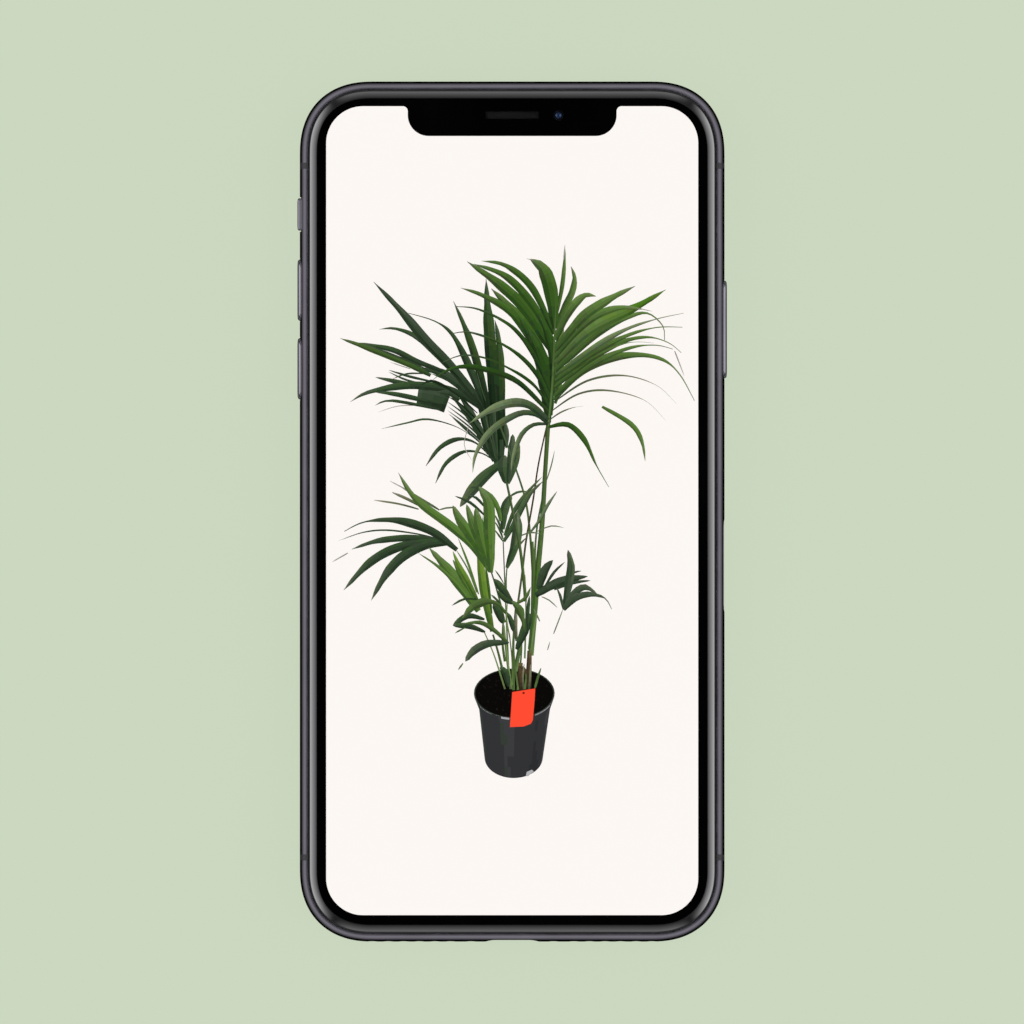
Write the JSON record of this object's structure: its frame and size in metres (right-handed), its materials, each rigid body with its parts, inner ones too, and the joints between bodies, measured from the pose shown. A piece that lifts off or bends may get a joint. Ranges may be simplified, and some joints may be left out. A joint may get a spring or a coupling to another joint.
{
  "type": "smartphone",
  "caption": "Smartphone with a notched edge-to-edge display, a rounded steel band, glass on both faces, side keys, a ring switch, a card tray and a raised rear camera.",
  "frame": {"origin": "under the middle of the phone, level with the face of the raised rear camera, which it lies on with the display up", "axes": "+X to the right side seen from the front, +Y to the phone's top, +Z out of the display"},
  "size_m": [0.0716, 0.1436, 0.0088],
  "materials": {
    "band_steel": "polished, dark violet-grey coating",
    "key_steel": "satin, dark violet-grey coating",
    "antenna_plastic": "satin",
    "cover_glass": "polished",
    "lit_screen": "lit display",
    "black_surround": "black print under glass",
    "black_plastic": "moulded",
    "speaker_mesh": "fine mesh",
    "lens_glass": "coated lens",
    "plate_metal": "stamped",
    "back_glass": "polished dark glass",
    "camera_window": "polished black glass",
    "flash_lens": "ribbed clear lens",
    "orange_stripe": "painted",
    "card_plastic": "plain card with gold contacts",
    "socket_steel": "drawn",
    "contact_gold": "plated",
    "battery_wrap": "foil wrap",
    "board": "board under shields",
    "coil_copper": "wound wire"
  },
  "bodies": {
    "phone": {"band_top": "band_steel", "band_bottom": "band_steel", "band_left": "band_steel", "band_right": "band_steel", "antenna_break_top_left": "antenna_plastic", "antenna_break_top_right": "antenna_plastic", "antenna_break_bottom_left": "antenna_plastic", "antenna_break_bottom_right": "antenna_plastic", "cover_glass": "cover_glass", "display_panel": "lit_screen", "display_surround": "black_surround", "ear_speaker_mesh": "speaker_mesh", "ear_speaker": "black_plastic", "front_camera_barrel": "black_plastic", "front_camera_lens": "lens_glass", "mid_plate": "plate_metal", "back_glass": "back_glass", "rear_camera_ring": "band_steel", "rear_camera_window": "camera_window", "rear_camera_upper": "black_plastic", "rear_camera_lower": "black_plastic", "rear_camera_upper_lens": "lens_glass", "rear_camera_lower_lens": "lens_glass", "rear_flash": "flash_lens", "ring_switch_stripe": "orange_stripe", "left_bracket": "plate_metal", "right_bracket": "plate_metal", "card_reader": "plate_metal", "socket_shell": "socket_steel", "socket_contacts": "contact_gold", "bottom_screw_left": "key_steel", "bottom_screw_right": "key_steel", "speaker_mesh": "speaker_mesh", "microphone_mesh": "speaker_mesh", "loudspeaker": "black_plastic", "vibration_motor": "plate_metal", "battery_upper": "battery_wrap", "battery_lower": "battery_wrap", "logic_board": "board", "charging_coil": "coil_copper"},
    "volume_up": {"volume_up_key": "key_steel"},
    "volume_down": {"volume_down_key": "key_steel"},
    "side_button": {"side_key": "key_steel"},
    "ring_switch": {"ring_switch_lever": "key_steel"},
    "tray": {"card_tray": "key_steel", "sim_card": "card_plastic"}
  },
  "joints": [
    {"name": "volume_up_press", "type": "slide", "parent": "phone", "child": "volume_up", "axis": [1, 0, 0], "range_m": [0, 0.0003], "stiffness_N_per_m": 4000},
    {"name": "volume_down_press", "type": "slide", "parent": "phone", "child": "volume_down", "axis": [1, 0, 0], "range_m": [0, 0.0003], "stiffness_N_per_m": 4000},
    {"name": "side_button_press", "type": "slide", "parent": "phone", "child": "side_button", "axis": [-1, 0, 0], "range_m": [0, 0.0003], "stiffness_N_per_m": 4000},
    {"name": "ring_switch_slide", "type": "slide", "parent": "phone", "child": "ring_switch", "axis": [0, 0, -1], "range_m": [0, 0.0011]},
    {"name": "tray_slide", "type": "slide", "parent": "phone", "child": "tray", "axis": [1, 0, 0], "range_m": [0, 0.022]}
  ]
}
